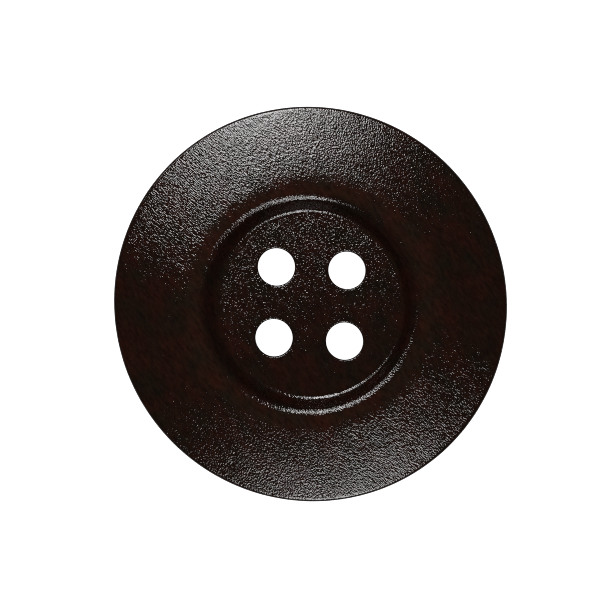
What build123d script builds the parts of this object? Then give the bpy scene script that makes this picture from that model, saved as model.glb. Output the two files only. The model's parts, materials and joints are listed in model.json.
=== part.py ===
from build123d import *
import math
import os

# A sew-on button, turned from one piece of hardwood and drilled with four sewing holes.
#
# Millimetres. The origin is the centre of the flat back face, +Z points out of the front, and
# the square of holes lines up with X and Y. Seen from the front, from the rim inwards, the
# button has a wide brim that falls away outwards, a crest, a rounded shoulder, a steep wall
# and a flat sunken floor, where the holes are.

# The blank
OUTER_DIAMETER = 30.0       # a 48 ligne button
CREST_HEIGHT = 4.2          # back face to the top of the crest

# The well, inside the crest
FLOOR_DIAMETER = 14.3       # where the wall would meet the floor if nothing were rounded
FLOOR_THICKNESS = 3.1       # back face to floor
WALL_TILT = 50.0            # degrees, from the floor up to the wall
FOOT_ROUNDING = 0.55        # from the floor into the wall
SHOULDER_ROUNDING = 1.0     # from the wall onto the crest
WALL_LEFT_STRAIGHT = 0.05   # least share of the wall that the two roundings leave straight

# The brim, outside the crest: a short curve off the crest, then a much flatter one
CREST_CURVE = 10.0          # radius of the curve just outside the crest
BRIM_START_TILT = 8.0       # degrees, where the flatter curve takes over
BRIM_CURVE = 90.0           # radius of the flatter curve
RIM_ROUNDING = 0.25         # outer edge, front side
BACK_ROUNDING = 0.6         # outer edge, back side

# The sewing holes
HOLE_DIAMETER = 2.84
HOLE_PITCH = 5.4            # centre to centre, along X and along Y
HOLE_ROUNDING = 0.12        # both ends of each hole


def on_circle(centre, radius, degrees):
    """The point of a circle at an angle, counted from +R towards +Z."""
    angle = math.radians(degrees)
    return Vector(centre.X + radius * math.cos(angle), centre.Y + radius * math.sin(angle))


def arc(centre, radius, start, end):
    """An arc of a circle between two angles in degrees."""
    return ThreePointArc(*[on_circle(centre, radius, a) for a in (start, (start + end) / 2, end)])


def well_line():
    """The outline from the axis out to the crest: floor, foot, wall and shoulder."""
    depth = CREST_HEIGHT - FLOOR_THICKNESS
    half_turn = math.tan(math.radians(WALL_TILT / 2))
    wall_length = depth / math.sin(math.radians(WALL_TILT))
    wanted = (FOOT_ROUNDING + SHOULDER_ROUNDING) * half_turn
    limit = min(1, (1 - WALL_LEFT_STRAIGHT) * wall_length / wanted)
    foot_radius, shoulder_radius = FOOT_ROUNDING * limit, SHOULDER_ROUNDING * limit

    floor_corner = FLOOR_DIAMETER / 2
    crest_corner = floor_corner + depth / math.tan(math.radians(WALL_TILT))
    foot = Vector(floor_corner - foot_radius * half_turn, FLOOR_THICKNESS + foot_radius)
    shoulder = Vector(crest_corner + shoulder_radius * half_turn, CREST_HEIGHT - shoulder_radius)
    foot_arc = arc(foot, foot_radius, 270, 270 + WALL_TILT)
    shoulder_arc = arc(shoulder, shoulder_radius, 90 + WALL_TILT, 90)
    floor = Line((0, FLOOR_THICKNESS), foot_arc @ 0)
    wall = Line(foot_arc @ 1, shoulder_arc @ 0)
    return [floor, foot_arc, wall, shoulder_arc]


def brim_line(crest_top):
    """The outline from the top of the crest out to the rim."""
    crest = Vector(crest_top.X, crest_top.Y - CREST_CURVE)
    start = 90 - BRIM_START_TILT
    brim = on_circle(crest, CREST_CURVE - BRIM_CURVE, start)
    rim = math.degrees(math.acos((OUTER_DIAMETER / 2 - brim.X) / BRIM_CURVE))
    return [arc(crest, CREST_CURVE, 90, start), arc(brim, BRIM_CURVE, start, rim)]


def turned_blank():
    """The button before drilling: half its section, turned about Z."""
    well = well_line()
    brim = brim_line(well[-1] @ 1)
    rim = brim[-1] @ 1
    outer = OUTER_DIAMETER / 2
    back = [
        Line(rim, (outer, 0)),
        Line((outer, 0), (0, 0)),
        Line((0, 0), (0, FLOOR_THICKNESS)),
    ]
    section = make_face(Curve() + well + brim + back)
    section = fillet(section.vertices().sort_by_distance((outer, 0, 0))[:1], BACK_ROUNDING)
    section = fillet(section.vertices().sort_by_distance((rim.X, rim.Y, 0))[:1], RIM_ROUNDING)
    return revolve(Plane.XZ * section, Axis.Z)


def button_body():
    """The finished button: the blank, drilled, with the edges of the holes broken."""
    drill = Cylinder(HOLE_DIAMETER / 2, 4 * CREST_HEIGHT)
    drills = GridLocations(HOLE_PITCH, HOLE_PITCH, 2, 2) * drill
    body = turned_blank() - drills
    edges = body.edges().filter_by(GeomType.CIRCLE)
    hole_edges = edges.filter_by(lambda e: abs(e.radius - HOLE_DIAMETER / 2) < 1e-6)
    return fillet(hole_edges, HOLE_ROUNDING)


os.makedirs("parts", exist_ok=True)
export_step(button_body(), "parts/button_body.step")
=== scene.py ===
# %% [markdown]
# # A turned wooden button
# The button is one disc of hardwood: turned, drilled, stained nearly black and lacquered.
# Its sizes could be typed in again here, but the design's solid already says how big it is
# and where the holes are. Reading them from it keeps the two the same for good.

# %% Load the design and take its sizes
import json
import math

import bmesh
import bpy
from mathutils import Matrix, Vector, geometry, noise


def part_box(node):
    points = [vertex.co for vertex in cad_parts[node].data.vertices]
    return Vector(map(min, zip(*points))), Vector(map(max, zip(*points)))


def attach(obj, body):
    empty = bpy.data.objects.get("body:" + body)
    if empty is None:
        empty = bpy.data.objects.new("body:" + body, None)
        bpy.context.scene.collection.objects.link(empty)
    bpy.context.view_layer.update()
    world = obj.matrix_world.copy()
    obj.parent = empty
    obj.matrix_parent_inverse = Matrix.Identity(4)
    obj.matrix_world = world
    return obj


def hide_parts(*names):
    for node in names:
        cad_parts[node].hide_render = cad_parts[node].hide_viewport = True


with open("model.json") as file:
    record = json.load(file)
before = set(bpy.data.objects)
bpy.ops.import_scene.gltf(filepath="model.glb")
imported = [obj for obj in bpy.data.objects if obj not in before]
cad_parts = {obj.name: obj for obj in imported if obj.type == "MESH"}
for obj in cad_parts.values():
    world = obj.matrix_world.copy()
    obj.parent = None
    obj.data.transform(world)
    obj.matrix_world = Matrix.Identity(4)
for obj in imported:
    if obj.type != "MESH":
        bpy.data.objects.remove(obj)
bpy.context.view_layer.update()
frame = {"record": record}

MM = 0.001
low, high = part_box("button_body")
OUTER_RADIUS = (high.x - low.x) / 2 / MM
CREST_HEIGHT = high.z / MM
holes = [m for m in frame["record"]["mounts"] if m["kind"] == "bore"]
HOLE_RADIUS = holes[0]["dims"]["r_mm"]
HOLE_CENTRES = [Vector((m["pos_m"][0] / MM, m["pos_m"][1] / MM)) for m in holes]
print("outer radius", round(OUTER_RADIUS, 3), "mm, crest", round(CREST_HEIGHT, 3), "mm high")
print(len(holes), "holes of radius", HOLE_RADIUS, "mm")

# %% [markdown]
# ## The outline, one arc at a time
# A lathe cuts the same outline all the way round, so half a section is all that has to be
# drawn. A Bezier curve would do, but a tool that rolls round an edge leaves a true arc, and
# a highlight shows the difference. So the outline is a chain of arcs that run smoothly into
# each other. Each point is a pair in millimetres: radius from the axis, height above the back.

# %% Points of an arc and of a straight


def arc(centre, radius, start, end, steps):
    """Points of an arc, from one angle to another in degrees."""
    angles = [math.radians(start + (end - start) * i / steps) for i in range(steps + 1)]
    return [(centre[0] + radius * math.cos(a), centre[1] + radius * math.sin(a)) for a in angles]


def straight(start, end, steps):
    """Points between two points, without the two ends."""
    shares = [i / steps for i in range(1, steps)]
    return [(start[0] + (end[0] - start[0]) * t, start[1] + (end[1] - start[1]) * t) for t in shares]


quarter = arc((0, 0), 1.0, 0, 90, steps=8)
print("a quarter turn has", len(quarter), "points and ends at height", round(quarter[-1][1], 3))

# %% [markdown]
# ## The well
# Inside the crest the button is hollowed to a flat floor, with a steep wall round it. The
# round nose of the tool leaves a small hollow where floor and wall meet, the foot, and
# sanding rounds the top of the wall into a shoulder. A Bevel modifier could round both
# afterwards, but it only comes near the radius asked for. Two arcs are exact, and each gives
# one of the two thin bright rings that make the well easy to read.

# %% The foot, the wall and the shoulder
FLOOR_CORNER = 7.15  # where wall and floor would meet if nothing were rounded
FLOOR_HEIGHT = 3.1
WALL_TILT = 50.0  # degrees
FOOT_ROUNDING = 0.55
SHOULDER_ROUNDING = 1.0

half_turn = math.tan(math.radians(WALL_TILT / 2))
depth = CREST_HEIGHT - FLOOR_HEIGHT
crest_corner = FLOOR_CORNER + depth / math.tan(math.radians(WALL_TILT))
foot_r = FLOOR_CORNER - FOOT_ROUNDING * half_turn
crest_r = crest_corner + SHOULDER_ROUNDING * half_turn
foot_centre = (foot_r, FLOOR_HEIGHT + FOOT_ROUNDING)
shoulder_centre = (crest_r, CREST_HEIGHT - SHOULDER_ROUNDING)
foot = arc(foot_centre, FOOT_ROUNDING, 270, 270 + WALL_TILT, steps=8)
shoulder = arc(shoulder_centre, SHOULDER_ROUNDING, 90 + WALL_TILT, 90, steps=14)
well = foot + straight(foot[-1], shoulder[0], steps=4) + shoulder
print("well", round(depth, 2), "mm deep; top of the crest at radius", round(crest_r, 2), "mm")

# %% [markdown]
# ## The crest, the brim and the rim
# From the crest the button falls away outwards: quickly over the first millimetre and then
# in one long, nearly flat curve, the brim. A straight cone would be simpler, but it would
# reflect a lamp as one even patch. The long arc makes the reflection grow brighter towards
# the rim. The rim's small rounding is placed so that it touches both the brim and the side.

# %% From the crest to the rim
CREST_CURVE = 10.0
BRIM_START_TILT = 8.0  # degrees
BRIM_CURVE = 90.0
RIM_ROUNDING = 0.25

start = 90 - BRIM_START_TILT
crest_centre = (crest_r, CREST_HEIGHT - CREST_CURVE)
crest = arc(crest_centre, CREST_CURVE, 90, start, steps=12)
inward = BRIM_CURVE - CREST_CURVE
brim_centre = (crest_centre[0] - inward * math.cos(math.radians(start)),
               crest_centre[1] - inward * math.sin(math.radians(start)))

rim_r = OUTER_RADIUS - RIM_ROUNDING
reach_in = BRIM_CURVE - RIM_ROUNDING
rim_angle = math.degrees(math.acos((rim_r - brim_centre[0]) / reach_in))
rim_centre = (rim_r, brim_centre[1] + reach_in * math.sin(math.radians(rim_angle)))
brim = arc(brim_centre, BRIM_CURVE, start, rim_angle, steps=42)
rim = arc(rim_centre, RIM_ROUNDING, rim_angle, 0, steps=8)
print("brim falls", round(CREST_HEIGHT - brim[-1][1], 2), "mm to the rim")

# %% [markdown]
# ## The side and the back
# The side is straight and the back is flat, as a button that lies on cloth needs it. Only
# the edge between them is rounded, so that it doesn't wear the thread. Straight parts get
# extra points too, because the surface is made very slightly wavy later on.

# %% Close the outline
BACK_ROUNDING = 0.6

back_edge = arc((OUTER_RADIUS - BACK_ROUNDING, BACK_ROUNDING), BACK_ROUNDING, 0, -90, steps=8)
side = straight(rim[-1], back_edge[0], steps=16)
back = straight(back_edge[-1], (foot_r, 0), steps=24) + [(foot_r, 0)]
outline = well + crest[1:] + brim[1:] + rim[1:] + side + back_edge + back
print("outline of", len(outline), "points; straight side", round(rim[-1][1] - BACK_ROUNDING, 2), "mm")

# %% [markdown]
# ## Turning the outline
# Turning on a lathe is what the Screw modifier copies. Here the holes have to join the same
# mesh, so it is done by hand: each outline point becomes a ring of vertices, and rings that
# are neighbours are joined by quads. The rings are fine enough for a smooth outer edge.

# %% Rings and quads
TURN_STEPS = 384


def ring(bm, radius, height, steps, centre=(0, 0)):
    """A level ring of vertices."""
    angles = [2 * math.pi * i / steps for i in range(steps)]
    across = [(centre[0] + radius * math.cos(a), centre[1] + radius * math.sin(a)) for a in angles]
    return [bm.verts.new((x, y, height)) for x, y in across]


def join_rings(bm, rings):
    """Quads between each ring and the next."""
    for inner, outer in zip(rings, rings[1:]):
        for i in range(len(inner)):
            j = (i + 1) % len(inner)
            bm.faces.new((inner[i], outer[i], outer[j], inner[j]))


bm = bmesh.new()
turned = [ring(bm, r, z, TURN_STEPS) for r, z in outline]
join_rings(bm, turned)
print("turned surface of", len(bm.faces), "quads")

# %% [markdown]
# ## The sewing holes
# Four drilled holes go straight through, and their edges are broken a little so that they
# don't cut the thread. Each is a small turned surface of its own, from the floor down to
# the back. A Boolean modifier would cut them in one go, but it leaves long slivers that
# show up as creases in a lacquer as glossy as this one.

# %% Rings down each hole
HOLE_ROUNDING = 0.12
HOLE_STEPS = 96

mouth_r = HOLE_RADIUS + HOLE_ROUNDING
top_edge = arc((mouth_r, FLOOR_HEIGHT - HOLE_ROUNDING), HOLE_ROUNDING, 90, 180, steps=6)
end_edge = arc((mouth_r, HOLE_ROUNDING), HOLE_ROUNDING, 180, 270, steps=6)
hole_line = top_edge + straight(top_edge[-1], end_edge[0], steps=12) + end_edge
hole_tops, hole_ends = [], []
for centre in HOLE_CENTRES:
    walls = [ring(bm, r, z, HOLE_STEPS, centre) for r, z in hole_line]
    join_rings(bm, walls)
    hole_tops.append(walls[0])
    hole_ends.append(walls[-1])
print(len(hole_tops), "holes,", len(hole_line), "rings each, mouth radius", round(mouth_r, 2), "mm")

# %% [markdown]
# ## The floor and the back between the holes
# What is left is a round plate with four round gaps. Rings can't fill it, and one big face
# would be split into long thin triangles. So an even net of points is laid inside, and
# Blender's Delaunay triangulation joins it to the edges that are already there.

# %% An even net of triangles
NET_SPACING = 0.15
MARGIN = 0.7 * NET_SPACING  # kept free between the net and the edges
SAME_POINT = 1e-7  # millimetres; closer points would count as one


def net_points(plate_radius):
    """Points of a triangular net, inside the plate and clear of the holes."""
    row_height = NET_SPACING * math.sqrt(3) / 2
    rows = int(plate_radius / row_height) + 1
    for row in range(-rows, rows + 1):
        for column in range(-rows, rows + 1):
            p = Vector(((column + 0.5 * (row % 2)) * NET_SPACING, row * row_height))
            clear = all((p - c).length > mouth_r + MARGIN for c in HOLE_CENTRES)
            if clear and p.length < plate_radius - MARGIN:
                yield p


def plate(bm, edge, mouths, height):
    """A flat plate inside a ring, with the mouths of the holes left open."""
    corners, borders = [], []
    for loop in [edge] + mouths:
        first, count = len(corners), len(loop)
        borders += [(first + i, first + (i + 1) % count) for i in range(count)]
        corners += loop
    corners += [bm.verts.new((p.x, p.y, height)) for p in net_points(edge[0].co.xy.length)]
    joined = geometry.delaunay_2d_cdt([v.co.xy for v in corners], borders, [], 0, SAME_POINT)
    places, triangles, sources = joined[0], joined[2], joined[3]
    made = 0
    for triangle in triangles:
        middle = sum((places[i] for i in triangle), Vector((0, 0))) / 3
        if all((middle - c).length > mouth_r for c in HOLE_CENTRES):
            bm.faces.new([corners[sources[i][0]] for i in triangle])
            made += 1
    return made


floor_triangles = plate(bm, turned[0], hole_tops, FLOOR_HEIGHT)
back_triangles = plate(bm, turned[-1], hole_ends, 0)
bmesh.ops.recalc_face_normals(bm, faces=bm.faces)
open_edges = sum(1 for e in bm.edges if not e.is_manifold)
print("floor", floor_triangles, "triangles, back", back_triangles, "and", open_edges, "open edges")

# %% [markdown]
# ## A well that is a little off centre
# A blank is often chucked twice, once for the rim and once for the well, and the second time
# it rarely sits quite true. Moving the whole well would pull the holes along. Each ring gets
# its own small shift instead, which fades out smoothly on both sides of the ring.

# %% Shift the foot and the crest
OFF_CENTRE = [  # radius of the ring, how far it fades on each side, shift
    (7.0, 1.2, Vector((0.03, -0.03, 0))),
    (8.3, 1.6, Vector((-0.24, -0.07, 0))),
]
FRONT_LEVEL = FLOOR_HEIGHT - 0.01  # everything above it belongs to the front

shifted = 0
for v in bm.verts:
    if v.co.z > FRONT_LEVEL:
        out = v.co.xy.length
        for ring_radius, fade, shift in OFF_CENTRE:
            away = min(abs(out - ring_radius) / fade, 1.0)
            v.co += shift * (1 - away) ** 2 * (1 + 2 * away)
            shifted += away < 1
print("shifted", shifted, "times, by", round(OFF_CENTRE[-1][2].length, 2), "mm at most")

# %% [markdown]
# ## A hand-sanded surface
# Sanding by hand leaves a surface very slightly wavy, which is what makes a real highlight
# waver. A bump texture could fake that in one view. Here each vertex is moved along its
# normal by smooth noise, so the waves are there from every side. The face the button rests
# on stays flat.

# %% Let the surface waver
WAVE_HEIGHT = 0.006
WAVE_LENGTH = 2.2
FINE_LENGTH = 0.4  # the finer waves, as shares of the long ones
FINE_HEIGHT = 0.5
RESTING_LEVEL = 0.02  # up to here nothing moves

bm.normal_update()
waves = []
for v in bm.verts:
    fine = noise.noise(v.co / (FINE_LENGTH * WAVE_LENGTH))
    wave = noise.noise(v.co / WAVE_LENGTH) + FINE_HEIGHT * fine
    waves.append(v.normal * wave * WAVE_HEIGHT if v.co.z > RESTING_LEVEL else Vector())
for v, move in zip(bm.verts, waves):
    v.co += move
print("largest wave", round(max(move.length for move in waves), 4), "mm")

# %% [markdown]
# ## Wood shrinks across its grain
# A turned disc doesn't stay a perfect circle. As wood dries it shrinks across the grain and
# hardly along it, so a button ends up oval. To keep the designed size as the mean, it is
# made longer along the grain by as much as it is made shorter across it. One matrix does it:
# turn the grain to X, stretch, and turn back. The same step brings millimetres to metres.

# %% Make it oval, and make the object
GRAIN_ANGLE = math.radians(129)
OVAL = 0.0076  # each way, so the longest and the shortest diameter are twice this apart

to_grain = Matrix.Rotation(-GRAIN_ANGLE, 3, "Z")
stretch = Matrix.Diagonal((1 + OVAL, 1 - OVAL, 1))
dried = to_grain.inverted() @ stretch @ to_grain
for v in bm.verts:
    v.co = dried @ v.co * MM

mesh = bpy.data.meshes.new("turned_button")
bm.to_mesh(mesh)
bm.free()
mesh.shade_smooth()
button = bpy.data.objects.new("turned_button", mesh)
bpy.context.scene.collection.objects.link(button)
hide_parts("button_body")
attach(button, "root")
print("turned_button:", sum(len(p.vertices) - 2 for p in mesh.polygons), "triangles,",
      "sides", [round(s / MM, 2) for s in button.dimensions], "mm")

# %% [markdown]
# ## The finish, node by node
# What the eye sees is mostly lacquer: a thin film that has sunk into the pores, so that it
# is full of tiny hills which each catch a lamp or miss it. Under it the stain leaves only
# faint red and olive patches. Nodes can be placed by hand in the editor. From a script, two
# short helpers read better: one puts down a node, one draws a wire.

# %% Helpers that put nodes and wires
wood = bpy.data.materials.new("lacquered_stained_wood")
wood.use_nodes = True
tree = wood.node_tree
tree.nodes.clear()


def put(kind, **settings):
    """A node. Each setting goes to the socket of that name, or else to the property."""
    node = tree.nodes.new(kind)
    for key, value in settings.items():
        socket = key.replace("_", " ").title()
        if socket in node.inputs:
            node.inputs[socket].default_value = value
        else:
            setattr(node, key, value)
    return node


def wire(source, target):
    """A wire from an output to an input."""
    tree.links.new(source, target)


place = put("ShaderNodeTexCoord")
print("material", wood.name, "starts with", len(tree.nodes), "node")

# %% [markdown]
# ## Noise that follows the grain
# Stain and lacquer both follow the wood's fibres, so their spots are drawn out along the
# grain. A Noise texture is the same in all directions. Turning the coordinates to the grain
# and squeezing them along it before they reach the texture draws its spots out.

# %% Coordinates along the grain, and noise on them


def grain_space(stretch, angle=GRAIN_ANGLE):
    """Millimetres in the wood, turned to the grain and drawn out along it."""
    turned = put("ShaderNodeVectorRotate", rotation_type="Z_AXIS", angle=-angle)
    scaled = put("ShaderNodeMapping", scale=(1 / MM / stretch, 1 / MM, 1 / MM))
    wire(place.outputs["Object"], turned.inputs["Vector"])
    wire(turned.outputs["Vector"], scaled.inputs["Vector"])
    return scaled.outputs["Vector"]


def speckle(vector, scale, detail=1.0, roughness=0.5):
    """Soft noise with a number of spots to the millimetre."""
    node = put("ShaderNodeTexNoise", scale=scale, detail=detail, roughness=roughness)
    wire(vector, node.inputs["Vector"])
    return node.outputs["Fac"]


def spread(value, low_in, high_in, low_out, high_out):
    """Moves a value from one range to another, and keeps it there."""
    node = put("ShaderNodeMapRange", from_min=low_in, from_max=high_in, to_min=low_out, to_max=high_out)
    wire(value, node.inputs["Value"])
    return node.outputs["Result"]


fibres = speckle(grain_space(2.5), 4.0, detail=3.0, roughness=0.7)
fibre_depth = spread(fibres, 0.3, 0.7, 0.55, 1.45)
print("fibres use", len(tree.nodes), "nodes so far")

# %% [markdown]
# ## The stain
# A dark stain takes unevenly: redder where the wood is open, towards olive where it is
# dense. One colour would look like plastic. A Color Ramp over soft noise gives the patches,
# and the fibres are multiplied into it, which darkens and lightens without a new hue.

# %% Patches of stain
OLIVE = (0.0125, 0.0076, 0.0044)
BROWN = (0.0180, 0.0070, 0.0040)
RED = (0.0245, 0.0068, 0.0042)


def multiply(colour, shade):
    """A colour darkened or lightened by a value."""
    node = put("ShaderNodeMix", data_type="RGBA", blend_type="MULTIPLY")
    node.inputs["Factor"].default_value = 1.0
    wire(colour, node.inputs["A"])
    wire(shade, node.inputs["B"])
    return node.outputs["Result"]


patches = put("ShaderNodeValToRGB")
stops = patches.color_ramp.elements
stops.new(0.5)
for stop, position, colour in zip(stops, (0.32, 0.50, 0.68), (OLIVE, BROWN, RED)):
    stop.position = position
    stop.color = (*colour, 1)
wire(speckle(grain_space(1.6), 0.7, detail=3.0), patches.inputs["Fac"])
stain = multiply(patches.outputs["Color"], fibre_depth)
print("stain with", len(stops), "colours")

# %% [markdown]
# ## Values that change with the radius
# Polishing reaches each part of a turned thing differently, and always in rings: the crest is rubbed
# lighter.
# The steep wall of the well is painted darker, as painted shade in the recess. Painting a mask would be
# one way. Distance from the axis through a Float Curve is simpler, and it stays exactly round.

# %% A curve over the radius: the rubbed stain, and painted shade on the wall
flat = put("ShaderNodeVectorMath", operation="MULTIPLY")
flat.inputs[1].default_value = (1 / MM, 1 / MM, 0)
wire(place.outputs["Object"], flat.inputs[0])
radius = put("ShaderNodeVectorMath", operation="LENGTH")
wire(flat.outputs["Vector"], radius.inputs[0])
reach = spread(radius.outputs["Value"], 0, OUTER_RADIUS, 0, 1)


def by_radius(steps):
    """A value for each distance from the axis, from (millimetres, value) pairs."""
    node = put("ShaderNodeFloatCurve")
    points = node.mapping.curves[0].points
    for i, (millimetres, value) in enumerate(steps):
        if i < 2:
            points[i].location = (millimetres / OUTER_RADIUS, value)
        else:
            points.new(millimetres / OUTER_RADIUS, value)
    for point in points:
        point.handle_type = "VECTOR"
    node.mapping.update()
    wire(reach, node.inputs["Value"])
    return node.outputs["Value"]


# Lighter on the crest, which is rubbed wear. Darkest near 8 mm, on the steep wall of the well, which is
# painted shade.
RUBBED_AND_WALL_SHADE = [(0, 0.50), (7.0, 0.50), (8.0, 0.37), (8.6, 0.71), (9.2, 0.71), (10.5, 0.55), (15, 0.51)]
rubbed_and_shaded_stain = multiply(stain, by_radius(RUBBED_AND_WALL_SHADE))
print("rubbed in", len(RUBBED_AND_WALL_SHADE), "steps over the radius")

# %% [markdown]
# ## The lacquer's hills
# Sprayed lacquer dries to tiny hills, here about a tenth of a millimetre wide.
# On the brim they are drawn out into streaks, which swirl towards two opposite edges. On the
# floor of the well, where nothing was rubbed, they stay round and stand further apart.
# As real geometry that would be millions of triangles. Hills far smaller than the button's
# own shape are what a Bump node is for.

# %% Streaks, swirls and specks
STREAK_ANGLE = math.radians(140)
SWIRL_ANGLE = math.radians(100)
SWIRL_SIDE = (0.64, 0.77)  # direction from the axis; the opposite edge swirls too


def towards(x, y):
    """Millimetres from the axis in one direction."""
    node = put("ShaderNodeVectorMath", operation="DOT_PRODUCT")
    node.inputs[1].default_value = (x, y, 0)
    wire(flat.outputs["Vector"], node.inputs[0])
    return node.outputs["Value"]


def maths(operation, *values):
    """One sum on values. Each value is an output or a number."""
    node = put("ShaderNodeMath", operation=operation)
    for socket, value in zip(node.inputs, values):
        if isinstance(value, (int, float)):
            socket.default_value = value
        else:
            wire(value, socket)
    return node.outputs["Value"]


def blend(share, a, b):
    """Goes from one value to another as the share goes from 0 to 1."""
    node = put("ShaderNodeMix", data_type="FLOAT")
    for name, value in (("Factor", share), ("A", a), ("B", b)):
        wire(value, node.inputs[name])
    return node.outputs["Result"]


streaks = speckle(grain_space(2.3, STREAK_ANGLE), 10.0)
swirls = speckle(grain_space(1.2, SWIRL_ANGLE), 8.5)
specks = speckle(grain_space(1.0), 6.8)
swirling = spread(maths("ABSOLUTE", towards(*SWIRL_SIDE)), 5, 10, 0, 0.8)
in_well = spread(radius.outputs["Value"], 6.8, 7.3, 1, 0)
hills = blend(in_well, blend(swirling, streaks, swirls), specks)
print("hills from 3 noises;", len(tree.nodes), "nodes so far")

# %% [markdown]
# ## How much of the hills is left
# Buffing cuts the hills down where a cloth can reach: the crest keeps few, and the wall of
# the well hardly any, so it mirrors the dark like glass. The brim and the floor keep most.
# One side of the floor has more hills than the other, as if a gun had sprayed from one side
# and the wall had sheltered the rest. All of that is one number for each spot, the strength
# of the bump.

# %% Buff the hills down
HILL_HEIGHT = 0.09 * MM
BUFFED = [(0, 0.67), (6.8, 0.67), (7.0, 0.45), (7.2, 0.42), (7.4, 0.08), (7.9, 0.10), (8.1, 0.50),
          (8.4, 0.50), (8.7, 0.26), (9.1, 0.35), (9.7, 0.43), (14.7, 0.43), (15, 0.20)]

SPRAYED_SIDE = (-0.26, 0.97)  # direction from the axis
sheltered = spread(towards(*SPRAYED_SIDE), -7, 7, -0.5, 0.08)  # half the hills are lost opposite
sprayed = maths("MULTIPLY_ADD", sheltered, in_well, 1.0)
relief = put("ShaderNodeBump", distance=HILL_HEIGHT)
wire(hills, relief.inputs["Height"])
wire(maths("MULTIPLY", by_radius(BUFFED), sprayed), relief.inputs["Strength"])
print("hills up to", round(HILL_HEIGHT / MM, 3), "mm before buffing")

# %% [markdown]
# ## Stain and lacquer together
# Lacquer over wood could be a Coat over a rough base. But this stain is so dark that the
# base adds no gloss of its own, and one layer bakes more cleanly. So the shader's own
# specular layer is the lacquer. Lacquer bends light as most clear plastics do, and is a
# little glossier in some places than in others.

# %% Put the finish together
shader = put("ShaderNodeBsdfPrincipled")
shader.inputs["IOR"].default_value = 1.5
gloss = spread(speckle(grain_space(1.0), 1.3, detail=2.0), 0.3, 0.7, 0.09, 0.13)
wire(rubbed_and_shaded_stain, shader.inputs["Base Color"])
wire(gloss, shader.inputs["Roughness"])
wire(relief.outputs["Normal"], shader.inputs["Normal"])
wire(shader.outputs["BSDF"], put("ShaderNodeOutputMaterial").inputs["Surface"])
mesh.materials.append(wood)
print(wood.name, "has", len(tree.nodes), "nodes and", len(tree.links), "wires")

# %% [markdown]
# ## A glowing sheet to lie on
# A small dark thing is often shown on a light table, where no shadow can fall round it. A
# plain white floor under the lamps would be grey in places. This sheet glows evenly white
# for the camera, and only a little for everything else, so that it doesn't light the
# button's sides more than paper would.

# %% The sheet
SHEET_HALF = 1.5
SHEET_DROP = 0.01 * MM  # keeps it from touching the button's back
PAPER_GREY = 0.35
GLOW_SEEN = 1.0
GLOW_CAST = 0.10

signs = [(-1, -1), (1, -1), (1, 1), (-1, 1)]
sheet_mesh = bpy.data.meshes.new("light_sheet")
sheet_mesh.from_pydata([(x * SHEET_HALF, y * SHEET_HALF, 0) for x, y in signs], [], [(0, 1, 2, 3)])
sheet = bpy.data.objects.new("light_sheet", sheet_mesh)
sheet.location.z = -SHEET_DROP
bpy.context.scene.collection.objects.link(sheet)

paper = bpy.data.materials.new("light_sheet")
paper.use_nodes = True
tree = paper.node_tree
tree.nodes.clear()
sheet_shader = put("ShaderNodeBsdfPrincipled", roughness=0.9)
sheet_shader.inputs["Base Color"].default_value = (PAPER_GREY, PAPER_GREY, PAPER_GREY, 1)
sheet_shader.inputs["Emission Color"].default_value = (1, 1, 1, 1)
seen = put("ShaderNodeLightPath").outputs["Is Camera Ray"]
wire(spread(seen, 0, 1, GLOW_CAST, GLOW_SEEN), sheet_shader.inputs["Emission Strength"])
wire(sheet_shader.outputs["BSDF"], put("ShaderNodeOutputMaterial").inputs["Surface"])
sheet_mesh.materials.append(paper)
print("sheet", 2 * SHEET_HALF, "m wide")

# %% [markdown]
# ## Three soft boxes
# The lacquer is nearly a mirror, so lamps matter here for what they look like in it. A soft
# box is an area lamp: big, even and with soft edges. The strong one stands behind, a second
# one in front fills the near side, and a low narrow one at the side draws out the steep
# foot and shoulder. Each is placed by compass direction and by how far it leans from
# overhead.

# %% The soft boxes
BOX_DISTANCE = 0.15


def soft_box(name, direction, lean, width, height, power):
    """A rectangular lamp that faces the button, its directions in degrees."""
    data = bpy.data.lights.new(name, "AREA")
    data.shape = "RECTANGLE"
    data.size, data.size_y = width, height
    data.energy = power
    lamp = bpy.data.objects.new(name, data)
    a, tilt = math.radians(direction), math.radians(lean)
    up = Vector((math.cos(a) * math.sin(tilt), math.sin(a) * math.sin(tilt), math.cos(tilt)))
    lamp.location = up * BOX_DISTANCE
    lamp.rotation_euler = up.to_track_quat("Z", "Y").to_euler()
    lamp.visible_camera = False
    bpy.context.scene.collection.objects.link(lamp)
    print(name, "stands", round(lamp.location.z, 3), "m high and gives", power, "W")


soft_box("back_soft_box", 102.0, 38.8, width=0.041, height=0.072, power=0.160)
soft_box("front_soft_box", 277.5, 44.2, width=0.057, height=0.071, power=0.140)
soft_box("side_soft_box", 129.0, 50.0, width=0.052, height=0.014, power=0.039)

# %% [markdown]
# ## A dark sky
# The floor of the well mirrors what is straight above. A bright sky would turn it milky, so
# the sky gives hardly any light. Past the sheet's edge the camera should still see white,
# so its rays get a white background and all others the dim one.

# %% The sky
SKY_LIGHT = 0.025

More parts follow.
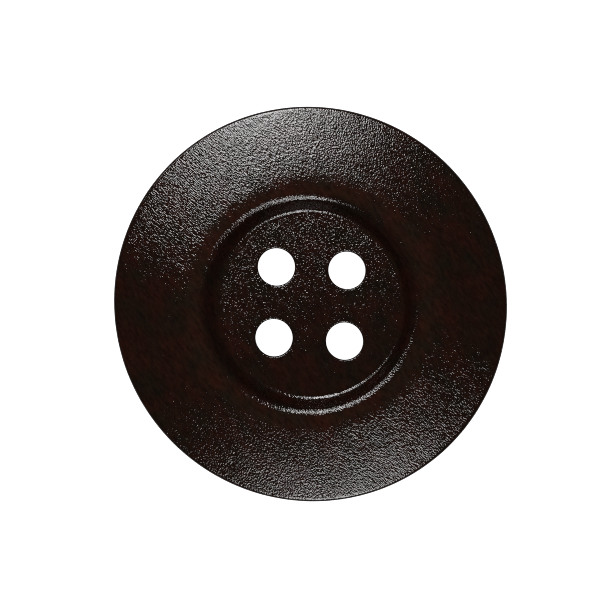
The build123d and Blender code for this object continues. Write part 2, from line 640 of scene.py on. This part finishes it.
world = bpy.data.worlds.new("studio")
bpy.context.scene.world = world
world.use_nodes = True
tree = world.node_tree
tree.nodes.clear()
white = (1, 1, 1, 1)
lighting = put("ShaderNodeBackground", color=white, strength=SKY_LIGHT)
backdrop = put("ShaderNodeBackground", color=white, strength=1.0)
choose = put("ShaderNodeMixShader")
wire(put("ShaderNodeLightPath").outputs["Is Camera Ray"], choose.inputs["Fac"])
wire(lighting.outputs["Background"], choose.inputs[1])
wire(backdrop.outputs["Background"], choose.inputs[2])
wire(choose.outputs["Shader"], put("ShaderNodeOutputWorld").inputs["Surface"])
print("sky gives", SKY_LIGHT, "of white")

# %% [markdown]
# ## The camera
# It looks straight down through a long lens from well away, so the hole walls stay hidden
# and the rim keeps its true shape. From close by, the crest would look too big for the rim.
# The lens is worked out from how much of the frame the button should fill. The camera is
# rolled a little, and aims a little beside the middle.

# %% Aim the camera
CAMERA_HEIGHT = 0.6
SHARE_OF_FRAME = 0.6566
RIM_HEIGHT = 3.0
AIM = Vector((-0.80, 0.305, 0))  # millimetres, in the rolled frame
ROLL = math.radians(2.36)
SENSOR_WIDTH = 36  # millimetres, a full frame
FAR_LIMIT = 10  # metres

data = bpy.data.cameras.new("camera")
camera = bpy.data.objects.new("camera", data)
bpy.context.scene.collection.objects.link(camera)
bpy.context.scene.camera = camera
frame_width = 2 * OUTER_RADIUS / SHARE_OF_FRAME * MM
data.sensor_width = SENSOR_WIDTH
data.lens = SENSOR_WIDTH * (CAMERA_HEIGHT - RIM_HEIGHT * MM) / frame_width
data.clip_end = FAR_LIMIT
camera.location = Matrix.Rotation(ROLL, 3, "Z") @ AIM * MM
camera.location.z = CAMERA_HEIGHT
camera.rotation_euler = (0, 0, ROLL)
print("lens", round(data.lens, 1), "mm, frame", round(frame_width / MM, 1), "mm wide")

# %% [markdown]
# ## Film settings
# The filmic looks lift dark tones and grey the white. The Standard one leaves both alone.
# Each tiny glint on the lacquer covers only a speck of the image, so denoising is off and
# the film's filter is narrow. Otherwise the sparkle would be smeared into haze.

# %% Keep the whites white and the glints sharp
scene = bpy.context.scene
scene.view_settings.view_transform = "Standard"
scene.cycles.use_denoising = False
scene.cycles.filter_width = 1.0
print("view", scene.view_settings.view_transform, "filter", scene.cycles.filter_width)
